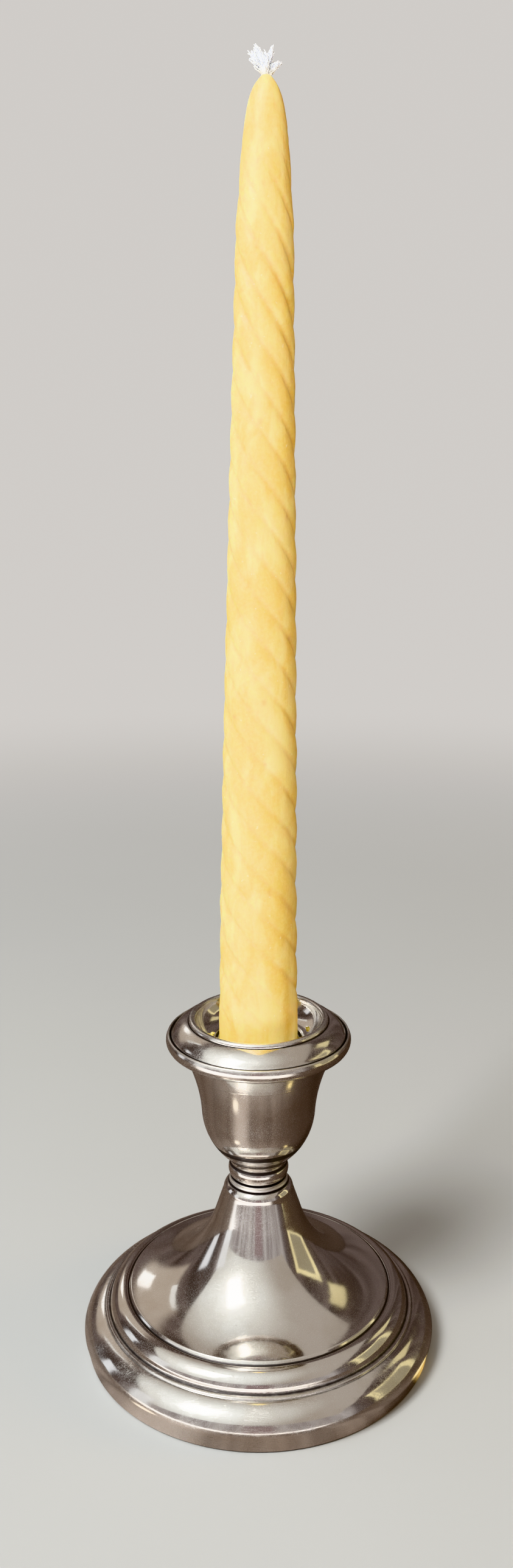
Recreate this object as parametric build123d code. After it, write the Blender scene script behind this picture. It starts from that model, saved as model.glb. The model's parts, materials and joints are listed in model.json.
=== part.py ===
from build123d import *
import math
import os

# A low turned silver candlestick: weighted foot, urn cup, lift-out nozzle and a
# twisted taper candle. Millimetres. +Z is up and the origin is the centre of the
# resting face. Everything but the wick's frayed end is coaxial with Z, and turned
# outlines are drawn as (radius, height) points.

# ---- Driving sizes -------------------------------------------------------------
FOOT_RADIUS = 50.8          # 4 in foot, at its bottom edge
STAND_HEIGHT = 101.6        # 4 in from the table to the top of the nozzle's bead
CANDLE_RADIUS = 11.15       # 7/8 in candle
CANDLE_TIP = 343.5          # height of the wax tip
SHEET = 0.8                 # spun sheet of the stand
NOZZLE_SHEET = 0.7
ROD_RADIUS = 2.0            # M4 tie rod
FIT_GAP = 0.05              # radial gap between nested pieces
FILL_GAP = 0.02             # between the cast filler and what it fills
ON_BASE = (Align.CENTER, Align.CENTER, Align.MIN)

# ---- Underside: felt, plate, curled edge -----------------------------------------
FELT = 1.2
PLATE = 0.8
EDGE_LIFT = 0.1             # the curled edge clears the table; the felt carries the load
CURL_RADIUS = 0.8
CURL_SHEET = 0.35
CURL_CENTRE = (FOOT_RADIUS - CURL_RADIUS, EDGE_LIFT + CURL_RADIUS)
PLATE_RADIUS = CURL_CENTRE[0] - CURL_RADIUS - 2 * FIT_GAP
PLATE_TOP = FELT + PLATE
POCKET_RADIUS = 9.0         # dished pocket that sinks the lower nut into the plate
POCKET_TOP = 7.0

# ---- Foot and stem, from the table upwards -----------------------------------------
SHOULDER = (FOOT_RADIUS + 0.95, 5.6)
OVOLO_TOP = (45.5, 11.9)
OVOLO_BULGE = 1.3
LEDGE_OUTER = (OVOLO_TOP[0] - 0.15, OVOLO_TOP[1] + 0.45)
LEDGE_INNER = (44.5, LEDGE_OUTER[1] + 0.1)
OUTER_GROOVE = (44.2, 12.55)
RING_START = (43.9, 13.2)
RING_END = (39.2, 17.2)
RING_BULGE = 1.05
INNER_GROOVE = (38.6, 17.0)
TRUMPET_START = (37.9, 17.9)
TRUMPET_END = (13.0, 39.5)
TRUMPET_HOLLOW = 4.3
STEM_SHOULDER = (10.2, 47.9)
STEM_TOP = (8.7, 50.4)

# ---- Neck, cup and lip -----------------------------------------------------------------
COLLAR_TOP = 52.05
LOWER_BEAD_RADIUS = 8.65
UPPER_BEAD_RADIUS = 8.25
BEAD_INSET = 0.35           # depth of the grooves beside the collar's beads
KNOP_FOOT_RADIUS = 7.5
KNOP_RADIUS = 8.72
KNOP_TOP_RADIUS = 8.2
KNOP_TOP = 56.4
CUP_FILLET_END = (9.4, 59.0)
CUP_BELLY = (16.3, 72.5)
CUP_MOUTH = (21.4, 91.4)
LIP_FOOT = CUP_MOUTH[1] + 0.4
LIP_RADIUS = 26.3
LIP_TOP = 96.9
LIP_BORE = 25.1
LIP_LEDGE = 95.9            # the nozzle's skirt stands on this ledge

# ---- Nozzle ------------------------------------------------------------------------------
PAN_RADIUS = LIP_BORE - 0.25
PAN_SHOULDER = (PAN_RADIUS - 0.35, 97.05)
PAN_CROWN = (20.0, 100.45)
BEAD_RADIUS = 1.0
BEAD_CENTRE = (18.85, STAND_HEIGHT - BEAD_RADIUS)
BOWL_FOOT = (13.0, 95.3)
TUBE_BORE = CANDLE_RADIUS + 0.25
TUBE_RADIUS = TUBE_BORE + 0.6
TUBE_TOP = 94.6
TUBE_BOTTOM = 65.9
TUBE_COLLAR = 3.4           # how far the pan's collar reaches down over the tube
FLOOR = 0.6

# ---- Candle and wick -------------------------------------------------------------------------
CANDLE_BOTTOM = TUBE_BOTTOM + FLOOR
TAPER = 0.0125              # radius lost per millimetre above the flutes' start
TAPER_GROWTH = 2.9e-5       # and its growth with height
FLUTES = 6
FLUTE_DEPTH = 0.6
FLUTE_LEAD = 62.5           # height of one full left-hand turn
FLUTE_START = 99.0
FLUTE_END = 310.0
FLUTE_FADE = 16.0           # height over which the flutes grow in and die out
SECTION_TURN = 18.0         # degrees between neighbouring sections of the twist
WICK_RADIUS = 0.8
WICK_NECK = CANDLE_TIP + 1.0

# ---- Hardware --------------------------------------------------------------------------------
NUT_FLATS = 7.0
NUT_HEIGHT = 3.2
NUT_CHAMFER = 0.35
WASHER_RADIUS = 6.2
WASHER = 0.8
ROD_END = 1.2               # thread left showing past each nut
ROD_HOLE = ROD_RADIUS + FIT_GAP
LOWER_WASHER_TOP = POCKET_TOP - PLATE
LOWER_NUT_BOTTOM = LOWER_WASHER_TOP - WASHER - NUT_HEIGHT
UPPER_WASHER_BOTTOM = KNOP_TOP + SHEET
UPPER_NUT_BOTTOM = UPPER_WASHER_BOTTOM + WASHER

os.makedirs("parts", exist_ok=True)


# ---- Helpers -------------------------------------------------------------------------------
def turned(face):
    """Turn a face drawn as (radius, height) about the Z axis."""
    return revolve(Plane.XZ * face, Axis.Z, 360)


def lines(*points):
    """Straight edges joining the points in order."""
    return Polyline(*points).edges()


def face_in(*edges):
    """Face inside a closed chain of edges."""
    return make_face(Wire(edges))


def disc(radius, low, high, bore=0.0):
    """Turned disc or washer between two heights."""
    corners = [(bore, low), (radius, low), (radius, high), (bore, high)]
    return turned(make_face(Polyline(*corners, close=True)))


def spun_sheet(outline, thickness):
    """Section of a sheet whose visible surface is the outline, with the metal on its left."""
    return make_face(offset(outline, amount=thickness, side=Side.LEFT, closed=True))


def hex_nut(low):
    """M4 nut with its lower face at a height."""
    flats = extrude(RegularPolygon(NUT_FLATS / 2, 6, major_radius=False), NUT_HEIGHT)
    barrel = Cylinder(NUT_FLATS / 2 + NUT_CHAMFER, NUT_HEIGHT, align=ON_BASE)
    barrel = chamfer(barrel.edges().filter_by(GeomType.CIRCLE), NUT_CHAMFER)
    bore = Cylinder(ROD_HOLE, NUT_HEIGHT, align=ON_BASE)
    return Pos(0, 0, low) * (flats & barrel - bore)


# ---- Foot ------------------------------------------------------------------------------------
def foot_edges():
    """Visible outline of the foot and stem, from the curled edge to the rod hole."""
    return [
        Line((FOOT_RADIUS, CURL_CENTRE[1]), SHOULDER),
        SagittaArc(SHOULDER, OVOLO_TOP, -OVOLO_BULGE),
        *lines(OVOLO_TOP, LEDGE_OUTER, LEDGE_INNER, OUTER_GROOVE, RING_START),
        SagittaArc(RING_START, RING_END, -RING_BULGE),
        *lines(RING_END, INNER_GROOVE, TRUMPET_START),
        SagittaArc(TRUMPET_START, TRUMPET_END, TRUMPET_HOLLOW),
        Line(TRUMPET_END, STEM_SHOULDER),
        SagittaArc(STEM_SHOULDER, STEM_TOP, -0.35),
        Line(STEM_TOP, (ROD_HOLE, STEM_TOP[1])),
    ]


def foot_shell():
    """Foot and trumpet stem spun from one sheet, its edge curled around a wire."""
    wire_space = Pos(*CURL_CENTRE) * Circle(CURL_RADIUS - CURL_SHEET)
    curl = Pos(*CURL_CENTRE) * Circle(CURL_RADIUS) - wire_space
    return turned(spun_sheet(Wire(foot_edges()), SHEET) - wire_space + curl)


def foot_wire():
    """Stiffening wire held in the curled edge."""
    return turned(Pos(*CURL_CENTRE) * Circle(CURL_RADIUS - CURL_SHEET - FIT_GAP))


def weight_filler():
    """Cement cast into the foot and stem around the tie rod, above the base plate."""
    floor = PLATE_TOP + FILL_GAP
    axis_side = lines(
        (ROD_HOLE, STEM_TOP[1]),
        (ROD_HOLE, POCKET_TOP + FILL_GAP),
        (POCKET_RADIUS + PLATE + FILL_GAP, POCKET_TOP + FILL_GAP),
        (POCKET_RADIUS + PLATE + FILL_GAP, floor),
        (FOOT_RADIUS, floor),
        (FOOT_RADIUS, CURL_CENTRE[1]),
    )
    inside = face_in(*foot_edges(), *axis_side)
    inside -= spun_sheet(Wire(foot_edges()), SHEET + FILL_GAP)
    inside -= Pos(*CURL_CENTRE) * Circle(CURL_RADIUS + FILL_GAP)
    return turned(inside.faces().sort_by(SortBy.AREA)[-1])


def base_plate():
    """Steel disc closing the foot, dished upwards in the middle for the lower nut."""
    wall = POCKET_RADIUS + PLATE
    corners = [
        (PLATE_RADIUS, FELT),
        (PLATE_RADIUS, PLATE_TOP),
        (wall, PLATE_TOP),
        (wall, POCKET_TOP),
        (ROD_HOLE, POCKET_TOP),
        (ROD_HOLE, LOWER_WASHER_TOP),
        (POCKET_RADIUS, LOWER_WASHER_TOP),
        (POCKET_RADIUS, FELT),
    ]
    return turned(make_face(Polyline(*corners, close=True)))


def felt_pad():
    """Felt glued under the plate; its lower face is the resting face."""
    return disc(PLATE_RADIUS, 0, FELT)


def tie_rod():
    """Rod that clamps foot, collar, knop and cup together."""
    low = LOWER_NUT_BOTTOM - ROD_END / 2
    high = UPPER_NUT_BOTTOM + NUT_HEIGHT + ROD_END
    rod = Cylinder(ROD_RADIUS, high - low, align=ON_BASE)
    return Pos(0, 0, low) * chamfer(rod.edges().filter_by(GeomType.CIRCLE), 0.4)


# ---- Neck and cup ----------------------------------------------------------------------------
def neck_collar():
    """Ring with two fine beads standing on the stem."""
    middle = (STEM_TOP[1] + COLLAR_TOP + 0.3) / 2
    lower_groove = (LOWER_BEAD_RADIUS - BEAD_INSET, STEM_TOP[1])
    waist = (UPPER_BEAD_RADIUS - BEAD_INSET, middle)
    upper_groove = (UPPER_BEAD_RADIUS - BEAD_INSET, COLLAR_TOP)
    return turned(
        face_in(
            ThreePointArc(lower_groove, (LOWER_BEAD_RADIUS, (STEM_TOP[1] + middle) / 2), waist),
            ThreePointArc(waist, (UPPER_BEAD_RADIUS, (middle + COLLAR_TOP) / 2), upper_groove),
            *lines(upper_groove, (ROD_HOLE, COLLAR_TOP), (ROD_HOLE, STEM_TOP[1]), lower_groove),
        )
    )


def neck_knop():
    """Rounded bead between the collar and the cup."""
    foot = (KNOP_FOOT_RADIUS, COLLAR_TOP)
    top = (KNOP_TOP_RADIUS, KNOP_TOP)
    swell = (KNOP_RADIUS, (COLLAR_TOP + KNOP_TOP) / 2 + 0.2)
    return turned(
        face_in(
            ThreePointArc(foot, swell, top),
            *lines(top, (ROD_HOLE, KNOP_TOP), (ROD_HOLE, COLLAR_TOP), foot),
        )
    )


def cup_shell():
    """Urn-shaped cup: flat bottom, full belly and a mouth flaring to a short upright edge."""
    foot = (KNOP_TOP_RADIUS, KNOP_TOP)
    outline = [
        Line((ROD_HOLE, KNOP_TOP), foot),
        SagittaArc(foot, CUP_FILLET_END, 0.3),
        SagittaArc(CUP_FILLET_END, CUP_BELLY, -1.5),
        SagittaArc(CUP_BELLY, CUP_MOUTH, 1.0),
        Line(CUP_MOUTH, (CUP_MOUTH[0], LIP_FOOT)),
    ]
    return turned(spun_sheet(Wire(outline), SHEET))


def cup_lip():
    """Moulded ring on the cup's mouth, rebated inside to seat the nozzle."""
    outer_foot = (CUP_MOUTH[0] + 0.9, LIP_FOOT)
    inner_foot = (CUP_MOUTH[0] - SHEET, LIP_FOOT)
    under = (25.6, 93.4)
    over = (LIP_RADIUS - 0.4, LIP_TOP - 0.35)
    crest = (LIP_RADIUS, (under[1] + over[1]) / 2 + 0.1)
    brow = (LIP_BORE + 0.35, LIP_TOP)
    return turned(
        face_in(
            Line(outer_foot, under),
            ThreePointArc(under, crest, over),
            SagittaArc(over, brow, -0.12),
            *lines(
                brow,
                (LIP_BORE, LIP_TOP - 0.4),
                (LIP_BORE, LIP_LEDGE),
                (LIP_BORE - 2.2, LIP_LEDGE),
                inner_foot,
                outer_foot,
            ),
        )
    )


# ---- Nozzle ------------------------------------------------------------------------------------
def nozzle_pan():
    """Spun drip pan: skirt, convex crown, bead, bowl and a collar for the tube."""
    bead_radius, bead_height = BEAD_CENTRE
    drop = BEAD_RADIUS * math.sin(math.radians(12))
    reach = BEAD_RADIUS * math.cos(math.radians(12))
    bead_outer = (bead_radius + reach, bead_height - drop)
    bead_inner = (bead_radius - reach, bead_height - drop)
    collar = TUBE_RADIUS + FIT_GAP
    outline = [
        *lines((PAN_RADIUS, LIP_LEDGE), (PAN_RADIUS, PAN_SHOULDER[1] - 0.35), PAN_SHOULDER),
        SagittaArc(PAN_SHOULDER, PAN_CROWN, -0.5),
        Line(PAN_CROWN, bead_outer),
        ThreePointArc(bead_outer, (bead_radius, STAND_HEIGHT), bead_inner),
        SagittaArc(bead_inner, BOWL_FOOT, 1.0),
        SagittaArc(BOWL_FOOT, (collar, TUBE_TOP - 0.4), -0.15),
        Line((collar, TUBE_TOP - 0.4), (collar, TUBE_TOP - TUBE_COLLAR)),
    ]
    return turned(spun_sheet(Wire(outline), NOZZLE_SHEET))


def candle_tube():
    """Drawn tube that grips the candle, soldered into the pan's collar."""
    return disc(TUBE_RADIUS, TUBE_BOTTOM, TUBE_TOP, TUBE_BORE)


def tube_floor():
    """Disc closing the tube's lower end."""
    return disc(TUBE_BORE - FILL_GAP, TUBE_BOTTOM, CANDLE_BOTTOM)


# ---- Candle ------------------------------------------------------------------------------------
def candle_radius(height):
    """Radius of the wax over the crests of the flutes."""
    above = max(0.0, height - FLUTE_START)
    return CANDLE_RADIUS - TAPER * above - TAPER_GROWTH * above**2


def flute_depth(height):
    """Depth of the valleys, fading to nothing at both ends of the twist."""
    edge = min(height - FLUTE_START, FLUTE_END - height)
    share = min(1.0, max(0.0, edge / FLUTE_FADE))
    return FLUTE_DEPTH * share * share * (3 - 2 * share)


def flute_section(height):
    """Ring of convex flutes at a height, turned left-handed with it."""
    crest = candle_radius(height)
    valley = crest - flute_depth(height)
    turn = -2 * math.pi * (height - FLUTE_START) / FLUTE_LEAD
    step = 2 * math.pi / FLUTES

    def point(radius, angle):
        return (radius * math.cos(angle), radius * math.sin(angle), height)

    arcs = []
    for flute in range(FLUTES):
        start = turn + flute * step
        arcs.append(
            ThreePointArc(
                point(valley, start),
                point(crest, start + step / 2),
                point(valley, start + step),
            )
        )
    return Wire(arcs)


def candle_wax():
    """Taper candle: plain butt in the tube, twisted flutes, smooth rounded tip."""
    sections = round((FLUTE_END - FLUTE_START) / FLUTE_LEAD * 360 / SECTION_TURN)
    rise = (FLUTE_END - FLUTE_START) / sections
    twist = Solid.make_loft([flute_section(FLUTE_START + i * rise) for i in range(sections + 1)])
    butt = disc(CANDLE_RADIUS, CANDLE_BOTTOM, FLUTE_START)
    shoulder = (candle_radius(FLUTE_END), FLUTE_END)
    tip = (WICK_RADIUS + 0.3, CANDLE_TIP)
    dome = turned(
        face_in(
            Spline(shoulder, (6.3, 322.0), (5.0, 334.0), (2.8, 341.4), tip),
            *lines(tip, (0, CANDLE_TIP), (0, FLUTE_END), shoulder),
        )
    )
    wick_hole = Cylinder(WICK_RADIUS + FILL_GAP, CANDLE_TIP, align=ON_BASE)
    return butt + twist + dome - wick_hole


def wick():
    """Cotton cord through the candle, frayed into three strands at the top."""
    cord = Cylinder(WICK_RADIUS, WICK_NECK - CANDLE_BOTTOM, align=ON_BASE)
    frayed = Pos(0, 0, CANDLE_BOTTOM) * cord
    for angle, tilt, length in ((180, 28, 4.8), (0, 14, 5.2), (10, 62, 3.6)):
        strand = Cone(WICK_RADIUS, 0.35, length, align=ON_BASE)
        frayed += Pos(0, 0, WICK_NECK - 0.2) * Rot(0, 0, angle) * Rot(0, tilt, 0) * strand
    return frayed


PIECES = {
    "felt_pad": felt_pad(),
    "base_plate": base_plate(),
    "weight_filler": weight_filler(),
    "foot_shell": foot_shell(),
    "foot_wire": foot_wire(),
    "tie_rod": tie_rod(),
    "lower_washer": disc(WASHER_RADIUS, LOWER_WASHER_TOP - WASHER, LOWER_WASHER_TOP, ROD_HOLE),
    "lower_nut": hex_nut(LOWER_NUT_BOTTOM),
    "neck_collar": neck_collar(),
    "neck_knop": neck_knop(),
    "cup_shell": cup_shell(),
    "cup_lip": cup_lip(),
    "upper_washer": disc(WASHER_RADIUS, UPPER_WASHER_BOTTOM, UPPER_NUT_BOTTOM, ROD_HOLE),
    "upper_nut": hex_nut(UPPER_NUT_BOTTOM),
    "nozzle_pan": nozzle_pan(),
    "candle_tube": candle_tube(),
    "tube_floor": tube_floor(),
    "candle_wax": candle_wax(),
    "wick": wick(),
}

for name, piece in PIECES.items():
    export_step(piece, f"parts/{name}.step")
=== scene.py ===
import json
import math
import random

import bmesh
import bpy
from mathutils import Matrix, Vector, noise
from mathutils.bvhtree import BVHTree

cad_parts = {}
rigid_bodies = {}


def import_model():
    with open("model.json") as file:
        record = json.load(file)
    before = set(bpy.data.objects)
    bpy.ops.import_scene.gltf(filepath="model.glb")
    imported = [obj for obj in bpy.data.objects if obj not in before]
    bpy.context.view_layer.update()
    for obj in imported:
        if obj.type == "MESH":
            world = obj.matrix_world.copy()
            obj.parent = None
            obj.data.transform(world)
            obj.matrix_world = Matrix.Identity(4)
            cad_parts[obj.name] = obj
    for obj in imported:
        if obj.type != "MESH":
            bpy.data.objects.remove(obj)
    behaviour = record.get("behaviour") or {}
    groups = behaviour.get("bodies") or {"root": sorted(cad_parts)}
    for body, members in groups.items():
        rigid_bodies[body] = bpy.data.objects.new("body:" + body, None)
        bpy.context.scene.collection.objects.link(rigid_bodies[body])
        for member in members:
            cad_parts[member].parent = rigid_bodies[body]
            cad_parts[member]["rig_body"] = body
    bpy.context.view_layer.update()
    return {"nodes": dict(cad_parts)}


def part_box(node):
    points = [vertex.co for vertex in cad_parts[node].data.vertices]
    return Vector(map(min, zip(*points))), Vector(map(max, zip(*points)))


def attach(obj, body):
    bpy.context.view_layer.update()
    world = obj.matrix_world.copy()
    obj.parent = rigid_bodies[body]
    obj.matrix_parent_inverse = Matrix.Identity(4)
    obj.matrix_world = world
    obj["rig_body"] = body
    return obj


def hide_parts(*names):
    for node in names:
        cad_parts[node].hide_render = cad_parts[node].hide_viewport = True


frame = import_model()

# Looks of a weighted silver candlestick with a twisted wax taper. Metres, in the frame of
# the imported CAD. The turned silver is spun again, finely, from the CAD's own outlines; the
# wax is laid over the CAD's twist; the cotton and the felt are built here.

MM = 0.001
ABOVE = Vector((0, 0, 1))

# ---- Silver ----------------------------------------------------------------------
WELD = 1e-7
CORNER_TURN = math.radians(28)      # a sharper turn of an outline is a corner
CORNER_CUT = 0.18 * MM              # how far a softened corner eats into its sides
CORNER_STEPS = 4                    # points drawn round a softened corner
FINEST, COARSEST = 0.085 * MM, 1.5 * MM     # steps along an outline, at a corner and far off
STEP_GROWTH = 0.55                  # how fast the steps grow away from a corner
SMOOTH_STEP = 0.5 * MM              # first step where no corner is near
STRAIGHT_RATIO = 3.0                # a side this much longer than its neighbour is straight
BEND_REACH = 0.7 * MM               # length of outline over which a bend is felt
FULL_BEND = math.radians(75)        # turn within it that makes a full hollow or ridge
JOINT_REACH = 0.9 * MM              # tarnish spreads this far from another piece
SLOW_RIPPLE = (21 * MM, 0.022 * MM)     # wavelength and height
QUICK_RIPPLE = (5.5 * MM, 0.0065 * MM)
RIPPLE_SEED = 1                     # unseeded, noise_vector gives other ripples on every run
DENT_DROP = 0.7                     # dents push inwards, and this much downwards
# Dents: angle from the front to the right in degrees, radius, height, depth and breadth in mm.
DENTS = (
    (-62, 49.5, 9.5, 0.10, 2.4),
    (-48, 51.0, 7.0, 0.07, 1.8),
    (28, 50.4, 8.0, 0.06, 1.5),
    (71, 47.5, 11.0, 0.08, 2.2),
    (-30, 24.0, 27.0, 0.05, 2.6),
    (140, 50.5, 8.0, 0.12, 2.6),
    (-150, 30.0, 22.0, 0.07, 3.0),
    (38, 26.2, 95.2, 0.06, 1.3),
    (-70, 26.2, 94.6, 0.07, 1.4),
)
CUP_SCRIBES = ((86.6 * MM, 0.035 * MM), (62.9 * MM, 0.03 * MM), (64.1 * MM, 0.02 * MM))
SCRIBE_WIDTH = 0.16 * MM
SILVER_LOOKS = {
    "silver_foot": {"polish": 0.055, "rubbed": 1.0, "rub_from": 39, "rub_to": 47},
    "silver_cup": {"polish": 0.09, "rubbed": 0.3, "rub_from": 8, "rub_to": 20},
    "silver_pan": {"polish": 0.065, "rubbed": 0.8, "rub_from": 12, "rub_to": 24},
}

# ---- Wax ---------------------------------------------------------------------------
FLUTES = 6
FLUTE_LEAD = 62.5 * MM              # height of one full left-hand turn of the CAD's twist
FLUTE_START = 99 * MM
FLUTE_END = 310 * MM
VALLEY_WIDTH = 0.085                # places and widths across a flute are shares of the flute
VALLEY_DEPTH = 0.16                 # mm cut deeper than the CAD's valleys
SHALLOW_DEPTH = 0.4                 # mm, of the hollows that run on above the CAD's flutes
# Creases rolled along each flute: place across it, width, depth in mm and its variation.
CREASES = ((0.40, 0.055, 0.10, 0.08), (0.66, 0.04, 0.05, 0.09))
SHOULDER = (0.14, 0.06, 0.07)       # raised line beside the valley: place, width, height in mm
LUMPS = ((7, 0.11), (1.9, 0.035))   # wavelength and height in mm
NICKS = 46
WAX_SEGMENTS = 204
WAX_RING = 0.75 * MM
LEAN = 1.85 * MM                    # sideways drift of the wax tip, towards +X
LEAN_START = 135 * MM
WAX_BASE, WAX_TOP = (corner.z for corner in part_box("candle_wax"))


def soft_step(value, low, high):
    """0 below low, 1 above high, and a smooth rise between."""
    share = min(1.0, max(0.0, (value - low) / (high - low)))
    return share * share * (3 - 2 * share)


def bell(distance, width):
    """A smooth bump, 1 at no distance."""
    return math.exp(-((distance / width) ** 2))


def around(radius, degrees, height):
    """Point at an angle from the front (-Y) towards the right (+X)."""
    angle = math.radians(degrees)
    return Vector((radius * math.sin(angle), -radius * math.cos(angle), height))


# ---- Shader helpers ------------------------------------------------------------------
def add(tree, kind, values=None, **settings):
    """New shader node. A socket given as an input's value is linked to it."""
    made = tree.nodes.new("ShaderNode" + kind)
    for name, value in settings.items():
        setattr(made, name, value)
    for name, value in (values or {}).items():
        socket = made.inputs[name]
        if isinstance(value, bpy.types.NodeSocket):
            tree.links.new(value, socket)
        else:
            socket.default_value = value
    return made


def maths(tree, operation, first, second=0.0, third=0.0):
    """Result of a maths node."""
    return add(tree, "Math", {0: first, 1: second, 2: third}, operation=operation).outputs[0]


def band(tree, value, low, high, bottom=0.0, top=1.0):
    """Smooth step of a value from low to high, scaled to bottom and top."""
    values = {"Value": value, "From Min": low, "From Max": high, "To Min": bottom, "To Max": top}
    return add(tree, "MapRange", values, interpolation_type="SMOOTHSTEP").outputs[0]


def mixed(tree, share, first, second):
    """Colour between two colours."""
    made = add(tree, "Mix", {"Factor": share}, data_type="RGBA")
    for socket, colour in ((made.inputs[6], first), (made.inputs[7], second)):
        if isinstance(colour, bpy.types.NodeSocket):
            tree.links.new(colour, socket)
        else:
            socket.default_value = (*colour, 1)
    return made.outputs[2]


def cloud(tree, place, scale, detail=3.0, roughness=0.55, distortion=0.0):
    """Noise between about 0.2 and 0.8."""
    values = {
        "Vector": place,
        "Scale": scale,
        "Detail": detail,
        "Roughness": roughness,
        "Distortion": distortion,
    }
    return add(tree, "TexNoise", values).outputs["Fac"]


def millimetres(tree):
    """Object coordinates in millimetres."""
    place = add(tree, "TexCoord").outputs["Object"]
    return add(tree, "VectorMath", {0: place, "Scale": 1000}, operation="SCALE").outputs[0]


def stretched(tree, place, turn, scale):
    """Coordinates turned and scaled, for streaks along one direction."""
    values = {"Vector": place, "Rotation": turn, "Scale": scale}
    return add(tree, "Mapping", values).outputs[0]


def new_material(name, **values):
    """Material with one Principled shader."""
    material = bpy.data.materials.new(name)
    material.use_nodes = True
    tree = material.node_tree
    shader = tree.nodes["Principled BSDF"]
    for key, value in values.items():
        shader.inputs[key.replace("_", " ")].default_value = value
    return material, tree, shader


def join(tree, source, shader, name):
    """Feeds one input of a shader."""
    tree.links.new(source, shader.inputs[name])


def bumped(tree, height, distance, shader):
    """Raises a shader's surface by height times distance, in metres."""
    values = {"Height": height, "Distance": distance, "Strength": 1.0}
    join(tree, add(tree, "Bump", values).outputs[0], shader, "Normal")


# ---- Materials ------------------------------------------------------------------------
def hairlines(tree, place, turns, fineness, width):
    """Thin straight scratches in several directions, 1 on a scratch."""
    found = 0.0
    for turn in turns:
        along = stretched(tree, place, [math.radians(a) for a in turn], (0.045, 1.0, 1.0))
        field = cloud(tree, along, fineness, detail=1.0)
        offset = maths(tree, "ABSOLUTE", maths(tree, "SUBTRACT", field, 0.5))
        line = band(tree, offset, 0.0, width, 1.0, 0.0)
        found = maths(tree, "MAXIMUM", found, line)
    return found


def silver(name, polish, rubbed, rub_from, rub_to):
    """Old polished silver: a warm patina, tarnished hollows, spinning lines, hairline
    scratches and smears. polish is its base roughness, and rubbed how worn it is, growing
    from one radius to another, in mm."""
    material, tree, shader = new_material(name, Metallic=1.0)
    place = millimetres(tree)
    tarnish = add(tree, "Attribute", attribute_name="tarnish").outputs["Fac"]
    patches = cloud(tree, place, 0.9, detail=4)
    dirt = band(tree, maths(tree, "ADD", tarnish, maths(tree, "MULTIPLY", patches, 0.3)), 0.28, 0.8)
    haze = band(tree, cloud(tree, place, 0.07, detail=3), 0.38, 0.66)
    speckle = band(tree, cloud(tree, place, 2.3, detail=2), 0.66, 0.74)
    clean = mixed(tree, haze, (0.93, 0.905, 0.86), (0.84, 0.795, 0.735))
    clean = mixed(tree, maths(tree, "MULTIPLY", speckle, 0.25), clean, (0.55, 0.48, 0.42))
    colour = mixed(tree, maths(tree, "MULTIPLY", dirt, 0.95), clean, (0.045, 0.036, 0.036))
    join(tree, colour, shader, "Base Color")

    parts = add(tree, "SeparateXYZ", {0: place})
    flat = add(tree, "CombineXYZ", {0: parts.outputs[0], 1: parts.outputs[1]}).outputs[0]
    radius = add(tree, "VectorMath", {0: flat}, operation="LENGTH").outputs["Value"]
    profile = add(tree, "CombineXYZ", {0: radius, 1: parts.outputs[2]}).outputs[0]
    spinning = cloud(tree, profile, 3.2, detail=3)
    scratches = hairlines(tree, place, ((0, 20, 65), (35, 0, 12), (10, 60, -40)), 0.9, 0.012)
    outer = band(tree, radius, rub_from, rub_to, 0.25, 1.0)
    worn_here = band(tree, cloud(tree, place, 0.13, detail=3), 0.42, 0.62, 0.15, 1.0)
    worn_here = maths(tree, "MULTIPLY", worn_here, outer)
    scratches = maths(tree, "MULTIPLY", scratches, worn_here)

    smears = cloud(tree, stretched(tree, place, (0.4, 0.2, 0.7), (0.3, 1, 1)), 0.16, detail=3)
    roughness = band(tree, smears, 0.35, 0.7, polish, polish + 0.04)
    roughness = maths(tree, "MULTIPLY_ADD", worn_here, 0.06 * rubbed, roughness)
    roughness = maths(tree, "MULTIPLY_ADD", dirt, 0.3, roughness)
    roughness = maths(tree, "MULTIPLY_ADD", scratches, 0.22 * rubbed, roughness)
    ridge = band(tree, add(tree, "Attribute", attribute_name="ridge").outputs["Fac"], 0.2, 0.7)
    roughness = maths(tree, "MULTIPLY_ADD", ridge, 0.2, roughness)
    micro = band(tree, cloud(tree, place, 9.0, detail=1), 0.61, 0.67, 0.0, 0.26)
    roughness = maths(tree, "ADD", micro, roughness)
    join(tree, roughness, shader, "Roughness")

    turned_height = maths(tree, "MULTIPLY", spinning, 0.55)
    height = maths(tree, "MULTIPLY_ADD", scratches, -0.8 * rubbed, turned_height)
    bumped(tree, height, 0.0035 * MM, shader)
    return material


def steel():
    """Plated steel with a faint rolled grain and a dull bloom."""
    material, tree, shader = new_material("steel_look", Metallic=1.0)
    place = millimetres(tree)
    grain = cloud(tree, stretched(tree, place, (0, 0, 0.3), (0.1, 3.0, 3.0)), 1.4, detail=4)
    bloom = band(tree, cloud(tree, place, 0.25, detail=4), 0.4, 0.65)
    colour = mixed(tree, bloom, (0.55, 0.55, 0.54), (0.42, 0.40, 0.36))
    join(tree, colour, shader, "Base Color")
    join(tree, band(tree, grain, 0.3, 0.7, 0.28, 0.5), shader, "Roughness")
    bumped(tree, grain, 0.01 * MM, shader)
    return material


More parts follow.
